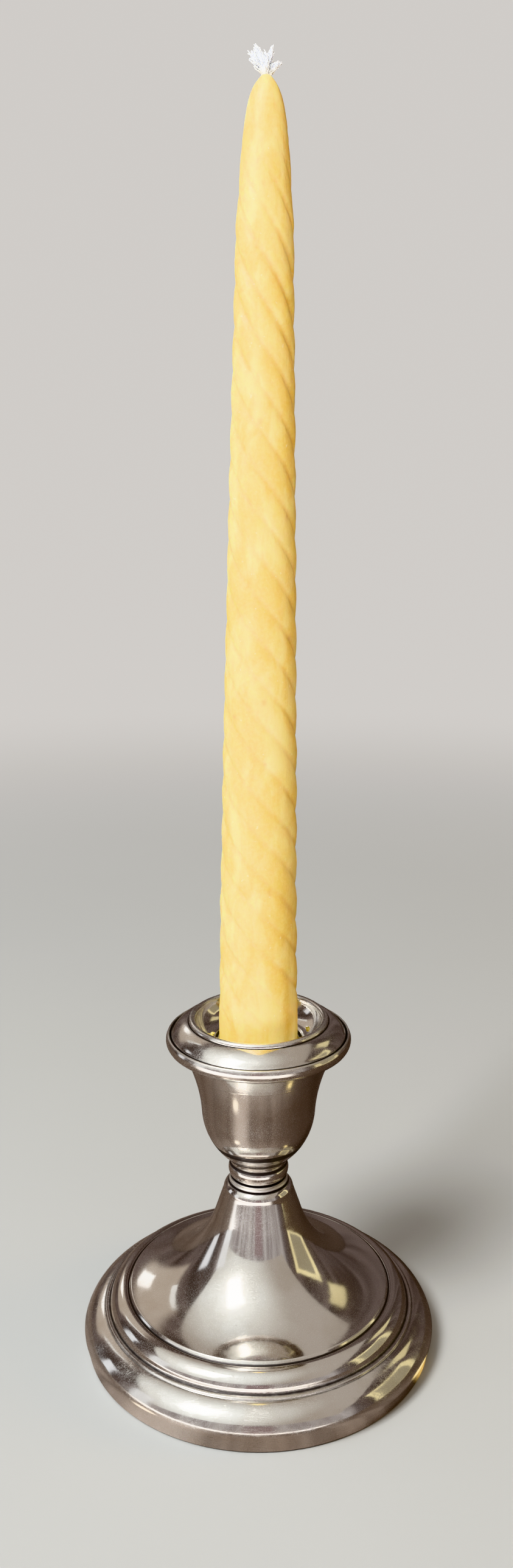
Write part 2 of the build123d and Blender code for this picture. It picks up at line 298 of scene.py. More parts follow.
def cement():
    """Cast filler with sand grains and pinholes."""
    material, tree, shader = new_material("cement_look", Roughness=0.92)
    place = millimetres(tree)
    grains = cloud(tree, place, 1.6, detail=6, roughness=0.7)
    pores = add(tree, "TexVoronoi", {"Vector": place, "Scale": 0.5}).outputs["Distance"]
    pinholes = band(tree, pores, 0.1, 0.2, 1.0, 0.0)
    colour = mixed(tree, band(tree, grains, 0.35, 0.65), (0.34, 0.32, 0.29), (0.52, 0.50, 0.46))
    # Painted shade: the pinholes darker.
    join(tree, mixed(tree, pinholes, colour, (0.16, 0.15, 0.14)), shader, "Base Color")
    height = maths(tree, "SUBTRACT", grains, maths(tree, "MULTIPLY", pinholes, 2.0))
    bumped(tree, height, 0.15 * MM, shader)
    return material


def felt():
    """Pressed wool felt: matted fibres, paler fuzz and a little lint."""
    material, tree, shader = new_material("felt_look", Roughness=0.95, Sheen_Weight=0.35)
    place = millimetres(tree)
    fibres = 0.0
    for turn in ((0, 0, 0.4), (0, 0, 1.5), (0, 0, 2.6)):
        streaks = cloud(tree, stretched(tree, place, turn, (0.18, 1, 1)), 3.5, detail=2)
        fibres = maths(tree, "MAXIMUM", fibres, streaks)
    matted = cloud(tree, place, 0.12, detail=4)
    deep = mixed(tree, band(tree, matted, 0.35, 0.65), (0.028, 0.085, 0.05), (0.045, 0.12, 0.07))
    colour = mixed(tree, band(tree, fibres, 0.55, 0.8), deep, (0.13, 0.25, 0.16))
    join(tree, colour, shader, "Base Color")
    bumped(tree, fibres, 0.18 * MM, shader)
    return material


def wax():
    """Beeswax: translucent honey yellow, clouded along the twist, with a dull bloom."""
    material, tree, shader = new_material(
        "wax_look",
        Subsurface_Weight=0.5,
        Subsurface_Scale=1.0,
        IOR=1.44,
        Coat_Weight=0.12,
        Coat_Roughness=0.3,
    )
    shader.inputs["Subsurface Radius"].default_value = (0.0055, 0.0033, 0.0009)
    place = millimetres(tree)
    valley = add(tree, "Attribute", attribute_name="valley").outputs["Fac"]
    nick = add(tree, "Attribute", attribute_name="nick").outputs["Fac"]
    slanted = stretched(tree, place, (0.5, 0.35, 0), (1.0, 1.0, 0.35))
    clouds = band(tree, cloud(tree, slanted, 0.16, detail=5, distortion=0.8), 0.36, 0.68)
    fine = cloud(tree, place, 1.1, detail=5, roughness=0.65)
    flecks = band(tree, cloud(tree, place, 0.75, detail=1), 0.735, 0.77)
    honey = mixed(tree, clouds, (0.82, 0.605, 0.155), (0.90, 0.77, 0.31))
    honey = mixed(tree, band(tree, fine, 0.3, 0.75, 0.0, 0.35), honey, (0.94, 0.82, 0.38))
    # Painted shade: the flute valleys tinted a deeper orange.
    honey = mixed(tree, maths(tree, "MULTIPLY", valley, 0.12), honey, (0.88, 0.58, 0.20))
    honey = mixed(tree, maths(tree, "MULTIPLY", flecks, 0.35), honey, (0.99, 0.93, 0.74))
    # Painted shade: the nicks tinted a darker orange.
    honey = mixed(tree, maths(tree, "MULTIPLY", nick, 0.6), honey, (0.70, 0.42, 0.16))
    join(tree, honey, shader, "Base Color")
    bloom = band(tree, fine, 0.3, 0.7, 0.34, 0.52)
    join(tree, bloom, shader, "Roughness")
    brushed = cloud(tree, stretched(tree, place, (0, 0, 0), (1.2, 1.2, 0.5)), 0.9, detail=5)
    height = maths(tree, "MULTIPLY_ADD", fine, 0.5, brushed)
    bumped(tree, height, 0.11 * MM, shader)
    return material


def cotton():
    """Bleached cotton fibre, faintly waxed near its root."""
    material, tree, shader = new_material(
        "cotton_look",
        Roughness=0.85,
        Sheen_Weight=0.5,
        Subsurface_Weight=0.3,
    )
    shader.inputs["Subsurface Radius"].default_value = (0.0008, 0.0008, 0.0007)
    place = millimetres(tree)
    root = add(tree, "Attribute", attribute_name="root").outputs["Fac"]
    strands = cloud(tree, stretched(tree, place, (0, 0, 0), (4, 4, 1)), 2.2, detail=3)
    white = mixed(tree, band(tree, strands, 0.3, 0.7), (0.78, 0.82, 0.90), (0.93, 0.96, 1.0))
    colour = mixed(tree, maths(tree, "MULTIPLY", root, 0.4), white, (0.90, 0.82, 0.58))
    join(tree, colour, shader, "Base Color")
    bumped(tree, strands, 0.03 * MM, shader)
    return material


# ---- Turned silver ----------------------------------------------------------------------
def cad_outlines(node):
    """Closed outlines of a turned CAD node, as 2-D (radius, height) points, longest first."""
    mesh = bmesh.new()
    mesh.from_mesh(frame["nodes"][node].data)
    bmesh.ops.remove_doubles(mesh, verts=mesh.verts, dist=WELD)
    geometry = [*mesh.verts, *mesh.edges, *mesh.faces]
    bmesh.ops.bisect_plane(mesh, geom=geometry, dist=WELD, plane_co=(0, 0, 0), plane_no=(0, 1, 0))
    links = {}
    for edge in mesh.edges:
        ends = [v.co for v in edge.verts]
        if all(abs(end.y) < 2 * WELD and end.x > 0 for end in ends):
            first, second = [(round(end.x, 7), round(end.z, 7)) for end in ends]
            links.setdefault(first, []).append(second)
            links.setdefault(second, []).append(first)
    mesh.free()
    outlines = []
    unused = set(links)
    while unused:
        outline = [min(unused)]
        unused.remove(outline[0])
        ahead = sorted(p for p in links[outline[-1]] if p in unused)
        while ahead:
            outline.append(ahead[0])
            unused.remove(ahead[0])
            ahead = sorted(p for p in links[outline[-1]] if p in unused)
        outlines.append([Vector(p) for p in outline])
    outlines.sort(key=len, reverse=True)
    for place, outline in enumerate(outlines):
        wanted = 1 if place == 0 else -1
        if signed_area(outline) * wanted < 0:
            outline.reverse()
    return outlines


def signed_area(outline):
    """Area inside a closed outline, positive when it runs anticlockwise."""
    pairs = zip(outline, outline[1:] + outline[:1])
    return sum(a.x * b.y - b.x * a.y for a, b in pairs) / 2


def turn_at(before, here, after):
    """Turn of an outline at a point, in radians, positive to the left."""
    arriving, leaving = here - before, after - here
    cross = arriving.x * leaving.y - arriving.y * leaving.x
    return math.atan2(cross, arriving.dot(leaving))


def tangent_at(before, here, after):
    """Direction of a smooth outline at a point. A much longer side counts as straight."""
    arriving, leaving = here - before, after - here
    if arriving.length > STRAIGHT_RATIO * leaving.length:
        return arriving.normalized()
    if leaving.length > STRAIGHT_RATIO * arriving.length:
        return leaving.normalized()
    weighted = arriving.normalized() * leaving.length + leaving.normalized() * arriving.length
    return weighted.normalized()


def graded(length, finest):
    """Positions from 0 to length, close together at both ends."""
    places = [0.0]
    while places[-1] < length:
        edge = min(places[-1], length - places[-1])
        places.append(places[-1] + min(COARSEST, finest + STEP_GROWTH * edge))
    return [place * length / places[-1] for place in places]


def softened(outline):
    """The outline with soft corners, and its curves and sides drawn through graded points."""
    count = len(outline)
    around_point = [(outline[i - 1], outline[i], outline[(i + 1) % count]) for i in range(count)]
    sharp = [abs(turn_at(*trio)) > CORNER_TURN for trio in around_point]
    sides = [(outline[(i + 1) % count] - outline[i]).length for i in range(count)]
    cuts = [
        min(CORNER_CUT, 0.4 * sides[i - 1], 0.4 * sides[i]) if sharp[i] else 0.0
        for i in range(count)
    ]
    points = []
    for i, (before, here, after) in enumerate(around_point):
        ahead = (i + 1) % count
        along = (after - here).normalized()
        if sharp[i]:
            arriving = here + (before - here).normalized() * cuts[i]
            leaving = here + along * cuts[i]
            for step in range(CORNER_STEPS):
                share = step / CORNER_STEPS
                points.append(
                    arriving * (1 - share) ** 2
                    + here * 2 * share * (1 - share)
                    + leaving * share**2
                )
        start = here + along * cuts[i]
        end = after - along * cuts[ahead]
        chord = end - start
        first = along if sharp[i] else tangent_at(*around_point[i])
        last = along if sharp[ahead] else tangent_at(*around_point[ahead])
        if sharp[i] and not sharp[ahead]:
            first = 2 * along.dot(last) * along - last
        if sharp[ahead] and not sharp[i]:
            last = 2 * along.dot(first) * along - first
        finest = FINEST if sharp[i] or sharp[ahead] else min(SMOOTH_STEP, chord.length / 2)
        for place in graded(chord.length, finest)[:-1]:
            share = place / chord.length
            points.append(hermite(start, end, first * chord.length, last * chord.length, share))
    return [p for p, q in zip(points, points[1:] + points[:1]) if (p - q).length > WELD]


def hermite(start, end, leaving, arriving, share):
    """Point on the cubic that leaves start and arrives at end with the given slopes."""
    square, cube = share**2, share**3
    return (
        start * (2 * cube - 3 * square + 1)
        + leaving * (cube - 2 * square + share)
        + end * (3 * square - 2 * cube)
        + arriving * (cube - square)
    )


def scribed(outline, scribes):
    """The outline with fine grooves cut into its outer side at some heights."""
    cut = []
    for here, after in zip(outline, outline[1:] + outline[:1]):
        cut.append(here)
        rising = here.y < after.y
        for height, depth in scribes:
            if rising and here.y <= height < after.y:
                for step, share in ((-1, 0), (-0.5, 0.5), (0, 1), (0.5, 0.5), (1, 0)):
                    level = height + step * SCRIBE_WIDTH
                    along = (level - here.y) / (after.y - here.y)
                    point = here.lerp(after, along)
                    cut.append(Vector((point.x - depth * share, level)))
    return cut


def bend_shares(outline):
    """How the outline bends around each point: -1 in a full hollow, 1 on a full ridge."""
    count = len(outline)
    turns = [turn_at(outline[i - 1], outline[i], outline[(i + 1) % count]) for i in range(count)]
    shares = []
    for i in range(count):
        total = turns[i]
        for step in (-1, 1):
            travelled, j = 0.0, i
            while travelled < BEND_REACH and abs(j - i) < count // 2:
                neighbour = j + step
                travelled += (outline[neighbour % count] - outline[j % count]).length
                total += turns[neighbour % count] * max(0.0, 1 - travelled / BEND_REACH)
                j = neighbour
        shares.append(min(1.0, max(-1.0, total / FULL_BEND)))
    return shares


def joint_shares(outline, others):
    """How near each point is to another turned piece, 0 to 1."""
    shares = []
    for point in outline:
        nearest = min((point - other).length for other in others)
        shares.append(1 - soft_step(nearest, 0.1 * MM, JOINT_REACH))
    return shares


def hand_worn(point):
    """The point, shifted by the ripples and dents of old hand-spun silver."""
    shift = Vector()
    for wavelength, height in (SLOW_RIPPLE, QUICK_RIPPLE):
        shift += noise.noise_vector(point / wavelength) * height
    for degrees, radius, height, depth, breadth in DENTS:
        centre = around(radius * MM, degrees, height * MM)
        distance = (point - centre).length
        if distance < 3 * breadth * MM:
            inward = -(centre - ABOVE * centre.z).normalized() - ABOVE * DENT_DROP
            shift += inward.normalized() * depth * MM * bell(distance, breadth * MM)
    return point + shift


def add_mesh(name, vertices, faces, material, shares=None):
    """Smooth mesh object with a material and optional per-vertex shares."""
    mesh = bpy.data.meshes.new(name)
    mesh.from_pydata(vertices, [], faces)
    mesh.update()
    mesh.shade_smooth()
    mesh.materials.append(material)
    for label, values in (shares or {}).items():
        mesh.attributes.new(label, "FLOAT", "POINT").data.foreach_set("value", values)
    made = bpy.data.objects.new(name, mesh)
    bpy.context.scene.collection.objects.link(made)
    return made


def ring_faces(gaps, segments):
    """Faces between rings of vertices that were made one ring after another."""
    faces = []
    for ring in range(gaps):
        for segment in range(segments):
            this, ahead = ring * segments + segment, ring * segments + (segment + 1) % segments
            faces.append((this, ahead, ahead + segments, this + segments))
    return faces


def spun(name, node, material, segments, neighbours, scribes=()):
    """Turned silver piece, spun from the CAD node's outline."""
    others = [p for other in neighbours for outline in OUTLINES[other] for p in outline]
    vertices, faces, tarnish, ridges = [], [], [], []
    for outline in OUTLINES[node]:
        outline = scribed(outline, scribes)
        bends = bend_shares(outline)
        joints = joint_shares(outline, others)
        base, count = len(vertices), len(outline)
        for segment in range(segments):
            angle = 2 * math.pi * segment / segments
            for i, point in enumerate(outline):
                place = Vector((point.x * math.cos(angle), point.x * math.sin(angle), point.y))
                vertices.append(hand_worn(place))
                tarnish.append(max(-bends[i], joints[i]))
                ridges.append(max(0.0, bends[i]))
                ahead = (i + 1) % count
                this, following = segment * count, (segment + 1) % segments * count
                corners = (this + i, following + i, following + ahead, this + ahead)
                faces.append([base + corner for corner in corners])
    made = add_mesh(name, vertices, faces, material, {"tarnish": tarnish, "ridge": ridges})
    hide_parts(node)
    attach(made, frame["nodes"][node]["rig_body"])
    return made


# ---- Candle ----------------------------------------------------------------------------------
def cad_tree(node):
    """Search tree of a CAD node's faces, for casting rays at it."""
    mesh = frame["nodes"][node].data
    corners = [v.co.copy() for v in mesh.vertices]
    return BVHTree.FromPolygons(corners, [tuple(p.vertices) for p in mesh.polygons])


def wax_surface():
    """Function giving the CAD wax's radius at an angle and a height."""
    tree = cad_tree("candle_wax")
    reach = 30 * MM

    def radius(angle, height):
        outward = Vector((math.cos(angle), math.sin(angle), 0))
        hit = tree.ray_cast(outward * reach + ABOVE * height, -outward)[0]
        return hit.xy.length

    return radius


def flute_phase(angle, height):
    """Place across a flute, 0 and 1 at its valleys, following the CAD's left-hand twist."""
    turn = -2 * math.pi * (height - FLUTE_START) / FLUTE_LEAD
    return ((angle - turn) * FLUTES / (2 * math.pi)) % 1.0


def wax_nicks():
    """Small chips and pricks in the wax: centre angle, height, breadth and depth."""
    draw = random.Random(11)
    nicks = []
    for _ in range(NICKS):
        angle, height = draw.uniform(0, 2 * math.pi), draw.uniform(100, 332) * MM
        nicks.append((angle, height, draw.uniform(0.35, 0.8) * MM, draw.uniform(0.06, 0.2) * MM))
    return nicks


def lean(height):
    """Sideways drift of the wax and the wick at a height."""
    return LEAN * max(0.0, height - LEAN_START) / (WAX_TOP - LEAN_START)


def flute_strengths(height):
    """How strong the flutes, the shallow hollows above them and the lumps are, 0 to 1."""
    fluted = soft_step(height, FLUTE_START - 2 * MM, FLUTE_START + 6 * MM)
    fluted *= 1 - soft_step(height, FLUTE_END - 4 * MM, FLUTE_END + 26 * MM)
    shallow = soft_step(height, FLUTE_END - 42 * MM, FLUTE_END - 15 * MM)
    shallow *= 1 - soft_step(height, FLUTE_END, FLUTE_END + 26 * MM)
    lumpy = soft_step(height, FLUTE_START - 6 * MM, FLUTE_START)
    return fluted, shallow, lumpy


def creased(radius, angle, height, phase, strengths):
    """The radius, with the rolled creases and the lumps worked into it."""
    fluted, shallow, lumpy = strengths
    place = Vector((radius * math.cos(angle), radius * math.sin(angle), height))
    rolled = noise.noise(place / (14 * MM))
    from_valley = min(phase, 1 - phase)
    radius -= fluted * MM * VALLEY_DEPTH * bell(from_valley, VALLEY_WIDTH)
    radius -= shallow * MM * SHALLOW_DEPTH * bell(from_valley, 2 * VALLEY_WIDTH)
    for across, width, depth, change in CREASES:
        radius -= fluted * MM * (depth + change * rolled) * bell(phase - across, width)
    across, width, rise = SHOULDER
    radius += fluted * MM * rise * bell(phase - across, width)
    for wavelength, rise in LUMPS:
        radius += lumpy * MM * rise * noise.noise(place / (wavelength * MM))
    return radius


def chipped(radius, angle, height, nicks):
    """The radius with the nicks cut into it, and how deep in a nick it is, 0 to 1."""
    chip = 0.0
    for nick_angle, nick_height, breadth, depth in nicks:
        if abs(height - nick_height) < 2.5 * breadth:
            across = math.remainder(angle - nick_angle, 2 * math.pi) * radius
            share = bell(math.hypot(across, height - nick_height), breadth)
            radius -= depth * share
            chip = max(chip, share)
    return radius, chip


def wax_heights():
    """Heights of the wax's rings: few inside the tube and close together above it."""
    above_tube = FLUTE_START - 3 * MM
    top = WAX_TOP - 0.02 * MM
    rings = math.ceil((WAX_TOP - FLUTE_START) / WAX_RING)
    heights = [WAX_BASE + 0.01 * MM, WAX_BASE + 6 * MM, FLUTE_START - 6 * MM]
    return heights + [above_tube + (top - FLUTE_START + 3 * MM) * i / rings for i in range(rings + 1)]


def candle(material):
    """Twisted taper: the CAD's flutes with rolled creases, lumps, nicks and a slight lean."""
    radius_at = wax_surface()
    nicks = wax_nicks()
    heights = wax_heights()
    vertices, valleys, chips = [], [], []
    for height in heights:
        strengths = flute_strengths(height)
        for segment in range(WAX_SEGMENTS):
            angle = 2 * math.pi * segment / WAX_SEGMENTS
            phase = flute_phase(angle, height)
            radius = creased(radius_at(angle, height), angle, height, phase, strengths)
            radius, chip = chipped(radius, angle, height, nicks)
            x, y = radius * math.cos(angle), radius * math.sin(angle)
            vertices.append((x + lean(height), y, height))
            # Share of the painted shade in the flute valleys.
            valleys.append(strengths[0] * bell(min(phase, 1 - phase), VALLEY_WIDTH))
            # Depth in a nick, which the wax shader darkens as painted shade.
            chips.append(chip)
    faces = ring_faces(len(heights) - 1, WAX_SEGMENTS)
    ends = ((0, WAX_BASE, False), (len(heights) - 1, WAX_TOP - 0.6 * MM, True))
    for ring, height, upward in ends:
        centre = len(vertices)
        vertices.append((lean(height), 0, height))
        valleys.append(0.0)
        chips.append(0.0)
        for segment in range(WAX_SEGMENTS):
            this = ring * WAX_SEGMENTS + segment
            ahead = ring * WAX_SEGMENTS + (segment + 1) % WAX_SEGMENTS
            faces.append((this, ahead, centre) if upward else (ahead, this, centre))
    made = add_mesh("candle", vertices, faces, material, {"valley": valleys, "nick": chips})
    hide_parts("candle_wax")
    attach(made, "candle")
    return made


def tube_along(path, radii, sides):
    """Vertices and faces of a closed round tube along a path."""
    vertices = []
    side = Vector((1, 0, 0))
    for i, point in enumerate(path):
        ahead = path[min(i + 1, len(path) - 1)] - path[max(i - 1, 0)]
        across = ahead.cross(side).normalized()
        side = across.cross(ahead).normalized()
        for step in range(sides):
            angle = 2 * math.pi * step / sides
            offset = side * math.cos(angle) + across * math.sin(angle)
            vertices.append(point + offset * radii[i])
    faces = ring_faces(len(path) - 1, sides)
    faces.append(tuple(reversed(range(sides))))
    last = (len(path) - 1) * sides
    faces.append(tuple(range(last, last + sides)))
    return vertices, faces


# Strands of the frayed wick: end point right, back and up from the wax tip in mm, spread of
# its fibres in mm, number of fibres and their radius in mm.
STRANDS = (
    ((-4.1, 0.1, 5.6), 0.55, 44, 0.17),
    ((-3.0, -0.4, 6.8), 0.5, 44, 0.17),
    ((-3.5, -0.5, 4.0), 0.5, 36, 0.16),
    ((-2.2, 0.3, 3.0), 0.45, 28, 0.16),
    ((-1.8, -0.2, 5.6), 0.5, 36, 0.17),
    ((-0.4, -0.5, 5.2), 0.45, 30, 0.16),
    ((0.6, 0.2, 5.6), 0.4, 30, 0.16),
    ((1.7, 0.0, 7.0), 0.2, 40, 0.16),
    ((3.7, -0.3, 3.1), 0.3, 36, 0.15),
    ((2.6, -0.4, 1.9), 0.4, 24, 0.15),
    ((2.2, 0.6, 3.6), 0.4, 20, 0.15),
    ((0.2, 1.7, 4.4), 0.5, 24, 0.16),
    ((-0.4, -1.6, 3.6), 0.5, 24, 0.16),
)
FIBRE_STEPS = 8
FIBRE_SIDES = 5
BUNDLE = 0.75                       # radius in mm of the bundle that the fibres leave


def frayed_wick(material):
    """Cotton wick: a short twisted neck that bursts into loose fibres."""
    draw = random.Random(5)
    tip = WAX_TOP
    root = Vector((lean(tip), 0, tip - 1.5 * MM))
    vertices, faces, roots = [], [], []

    def keep(path, radii, sides):
        made, sides_faces = tube_along(path, radii, sides)
        base = len(vertices)
        vertices.extend(made)
        faces.extend([tuple(base + j for j in face) for face in sides_faces])
        roots.extend(1 - soft_step(v.z, tip, tip + 2.2 * MM) for v in made)

    for end, spread, count, thickness in STRANDS:
        for _ in range(count):
            angle, out = draw.uniform(0, 2 * math.pi), math.sqrt(draw.random())
            start = root + Vector((math.cos(angle), math.sin(angle), 0)) * out * BUNDLE * MM
            jitter = Vector([draw.gauss(0, spread) for _ in range(3)]) * MM
            goal = root + (Vector(end) * draw.uniform(0.68, 0.9) + ABOVE * 1.5) * MM + jitter
            curl = Vector([draw.gauss(0, 0.3) for _ in range(3)]) * MM
            lift = start + ABOVE * (0.45 * (goal - start).length)
            path, radii = [], []
            for step in range(FIBRE_STEPS + 1):
                share = step / FIBRE_STEPS
                bend = start.lerp(lift, share).lerp(lift.lerp(goal, share), share)
                wave = math.sin(share * math.pi * 3.1) * share
                path.append(bend + curl * wave)
                radii.append(thickness * MM * (1.0 - 0.5 * share**2))
            keep(path, radii, FIBRE_SIDES)
    made = add_mesh("wick_fray", vertices, faces, material, {"root": roots})
    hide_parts("wick")
    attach(made, "candle")
    return made


# ---- Felt and crumbs ------------------------------------------------------------------------
FELT_SEGMENTS = 220
FELT_RINGS = 26
# Its soft edges: inset from the rim, and rise from the bottom or drop from the top, in mm.
FELT_LOWER_EDGE = ((0.35, 0.0), (0.08, 0.15), (0.0, 0.5))
FELT_UPPER_EDGE = ((0.0, 0.35), (0.1, 0.08), (0.4, 0.0))


def felt_disc(material):
    """Felt pad: a soft-edged disc that dimples where the glue took unevenly."""
    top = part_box("felt_pad")[1]
    radius = top.x
    vertices, faces = [], []

    def dimple(place):
        return (0.5 + 0.5 * noise.noise(place / (9 * MM))) * 0.14 * MM

    outline = [(radius * i / FELT_RINGS, 0.0) for i in range(1, FELT_RINGS)]
    outline += [(radius - inset * MM, rise * MM) for inset, rise in FELT_LOWER_EDGE]
    outline += [(radius - inset * MM, top.z - drop * MM) for inset, drop in FELT_UPPER_EDGE]
    for segment in range(FELT_SEGMENTS):
        angle = 2 * math.pi * segment / FELT_SEGMENTS
        for reach, height in outline:
            place = Vector((reach * math.cos(angle), reach * math.sin(angle), height))
            near_rim = soft_step(reach, radius - 1.5 * MM, radius)
            rag = noise.noise(place / (2.2 * MM)) * 0.12 * MM * near_rim
            raised = dimple(place) if height == 0.0 else 0.0
            inner = 1 - (0.06 * MM + max(0.0, rag)) / max(reach, MM)
            vertices.append((place.x * inner, place.y * inner, height + raised))
    count = len(outline)
    for segment in range(FELT_SEGMENTS):
        this, ahead = segment * count, (segment + 1) % FELT_SEGMENTS * count
        for i in range(count - 1):
            faces.append((this + i, this + i + 1, ahead + i + 1, ahead + i))
    for ring, height, upward in ((0, dimple(Vector()), False), (count - 1, top.z, True)):
        centre = len(vertices)
        vertices.append((0, 0, height))
        for segment in range(FELT_SEGMENTS):
            this, ahead = segment * count + ring, (segment + 1) % FELT_SEGMENTS * count + ring
            faces.append((this, ahead, centre) if upward else (ahead, this, centre))
    made = add_mesh("felt_under", vertices, faces, material)
    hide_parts("felt_pad")
    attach(made, "stand")
    return made


# Wax crumbs left in the drip bowl: angle from the front to the right in degrees, radius and
# size in mm.
CRUMBS = ((-84, 14.3, 1.0), (-96, 13.2, 0.6), (-66, 15.0, 0.5), (104, 14.6, 0.7), (62, 15.6, 0.45))


def crumb_mesh(centre, size, seed):
    """Vertices and faces of one lumpy, flattened crumb."""
    ball = bmesh.new()
    bmesh.ops.create_icosphere(ball, subdivisions=3, radius=size)
    for vertex in ball.verts:
        lump = 1 + 0.5 * noise.noise(vertex.co / (0.8 * size) + Vector((seed, 0, 0)))
        vertex.co = centre + Vector((vertex.co.x, vertex.co.y, vertex.co.z * 0.6)) * lump
    ball.verts.ensure_lookup_table()
    vertices = [v.co.copy() for v in ball.verts]
    faces = [tuple(v.index for v in face.verts) for face in ball.faces]
    ball.free()
    return vertices, faces


def wax_crumbs(material):
    """Bits of old wax stuck in the bowl."""
    pan = cad_tree("nozzle_pan")
    vertices, faces = [], []
    for seed, (degrees, radius, size) in enumerate(CRUMBS):
        # Off the seam of the CAD mesh, where a ray could slip through.
        bowl = pan.ray_cast(Vector((radius * MM, 0.3 * MM, 1)), -ABOVE)[0].z
        centre = around(radius * MM, degrees, bowl + 0.2 * size * MM)
        more, more_faces = crumb_mesh(centre, size * MM, seed)
        base = len(vertices)
        vertices += more
        faces += [tuple(base + j for j in face) for face in more_faces]
    made = add_mesh("bowl_wax", vertices, faces, material)
    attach(made, "nozzle")
    return made


# ---- Studio -----------------------------------------------------------------------------------
FLOOR_SEGMENTS = 128
FLOOR_RADIUS = 1.5
SWEEP_RADIUS = 3.4
SWEEP_HEIGHT = 2.6
SWEEP_STEPS = 24
NEAR_FLOOR = 250                    # mm; further out the floor glows evenly instead of being lit
FAR_FLOOR = 1100
PALE = (0.66, 0.635, 0.61)          # the backdrop's even tone
FLOOR_TINTS = ((0.375, 0.39, 0.395), (0.40, 0.415, 0.42))

# The table the silver mirrors, in place of the pale floor: its tones, and two pools of light
# on it (place in mm, reach in mm, colour).
TABLE_BROWN = (0.15, 0.122, 0.108)
TABLE_DARK = (0.055, 0.042, 0.037)
TABLE_LIT = (0.31, 0.275, 0.26)
TABLE_NEAR = (0.19, 0.16, 0.145)
TABLE_SHEEN = (1.7, 1.72, 1.8)      # light off its outer front part, a bright line in edges
TABLE_POOLS = (
    ((-54, -50, 0), 9, (1.6, 1.5, 1.35)),
    ((50, -19, 0), 8, (1.5, 1.25, 0.6)),
)


# The room's walls, front wall and ceiling: a darker and a lighter tone of each.
WALL_TONES = ((0.08, 0.063, 0.058), (0.17, 0.136, 0.128))
FRONT_TONES = ((0.27, 0.235, 0.235), (0.50, 0.47, 0.465))
CEILING_TONES = ((0.43, 0.385, 0.345), (0.86, 0.88, 0.86))
# The ceiling's edges on a plane one unit above the object: slope and offset of the two slanted
# ones, and how far the straight ones are behind and in front.
CEILING_SLANTS = ((0.605, 0.81), (-1.5, 1.46))
CEILING_BEHIND, CEILING_IN_FRONT = 0.70, 1.9
CEILING_EDGE = 0.06                 # breadth of its soft edge

KEY_PLACE = Vector((-0.70, -0.70, 1.28))
WARM_PLACE = Vector((1.05, 0.0, 0.42))
TOP_PLACE = Vector((-0.1, 0.2, 1.9))


def bearing(tree, x, y):
    """Degrees from the front (-Y) towards the right (+X)."""
    return maths(tree, "DEGREES", maths(tree, "ARCTAN2", x, maths(tree, "MULTIPLY", y, -1.0)))


def pane(tree, value, middle, half, edge):
    """1 within half of the middle, falling to 0 over a soft edge."""
    off = maths(tree, "ABSOLUTE", maths(tree, "SUBTRACT", value, middle))
    return band(tree, off, half, half + edge, 1.0, 0.0)


def mirrored_table(tree, place):
    """Tone of the table as the silver sees it."""
    x, y, _ = add(tree, "SeparateXYZ", {0: place}).outputs
    side = bearing(tree, x, y)
    grain = cloud(tree, stretched(tree, place, (0, 0, 0.5), (0.02, 0.25, 1)), 1.0, detail=4)
    brown = mixed(tree, band(tree, grain, 0.3, 0.7), TABLE_DARK, TABLE_BROWN)
    brown = mixed(tree, 0.35, brown, TABLE_BROWN)
    around_foot = add(tree, "VectorMath", {0: place}, operation="LENGTH").outputs["Value"]
    brown = mixed(tree, band(tree, around_foot, 62, 90, 1.0, 0.0), brown, TABLE_NEAR)
    rays = add(tree, "CombineXYZ", {0: maths(tree, "MULTIPLY", side, 0.075)}).outputs[0]
    shade = band(tree, cloud(tree, rays, 1.0, detail=2), 0.38, 0.62, 0.0, 0.5)
    tone = mixed(tree, shade, brown, TABLE_DARK)
    tone = mixed(tree, pane(tree, side, -36, 4, 20), tone, TABLE_LIT)
    # Painted shadow: the mirrored table darker towards the back right.
    tone = mixed(tree, pane(tree, side, 125, 20, 90), tone, TABLE_DARK)
    sheen = maths(tree, "MULTIPLY", band(tree, around_foot, 130, 230), pane(tree, side, -18, 42, 22))
    tone = mixed(tree, sheen, tone, TABLE_SHEEN)
    for centre, reach, colour in TABLE_POOLS:
        away = add(tree, "VectorMath", {0: place, 1: centre}, operation="DISTANCE").outputs["Value"]
        tone = mixed(tree, band(tree, away, 0.3 * reach, reach, 1.0, 0.0), tone, colour)
    return tone


def studio_floor():
    """Plain pale floor, glowing evenly into the backdrop. What it mirrors and bounces onto the
    object is a darker table, so that the silver keeps the contrast it has in a room."""
    material, tree, shader = new_material("floor_look", Roughness=0.85)
    shader.inputs["Specular IOR Level"].default_value = 0.2
    place = millimetres(tree)
    pale = mixed(tree, cloud(tree, place, 0.004, detail=4), *FLOOR_TINTS)
    away = add(tree, "VectorMath", {0: place}, operation="LENGTH").outputs["Value"]
    far = band(tree, away, NEAR_FLOOR, FAR_FLOOR)
    seen = add(tree, "LightPath").outputs["Is Camera Ray"]
    lit = mixed(tree, far, pale, (0.0, 0.0, 0.0))
    join(tree, mixed(tree, seen, mirrored_table(tree, place), lit), shader, "Base Color")
    join(tree, maths(tree, "MULTIPLY", far, seen), shader, "Emission Strength")
    shader.inputs["Emission Color"].default_value = (*PALE, 1)
    rim = [around(FLOOR_RADIUS, 360 * i / FLOOR_SEGMENTS, 0) for i in range(FLOOR_SEGMENTS)]
    faces = [(0, 1 + i, 1 + (i + 1) % FLOOR_SEGMENTS) for i in range(FLOOR_SEGMENTS)]
    floor = add_mesh("studio_floor", [Vector((0, 0, 0)), *rim], faces, material)
    return material


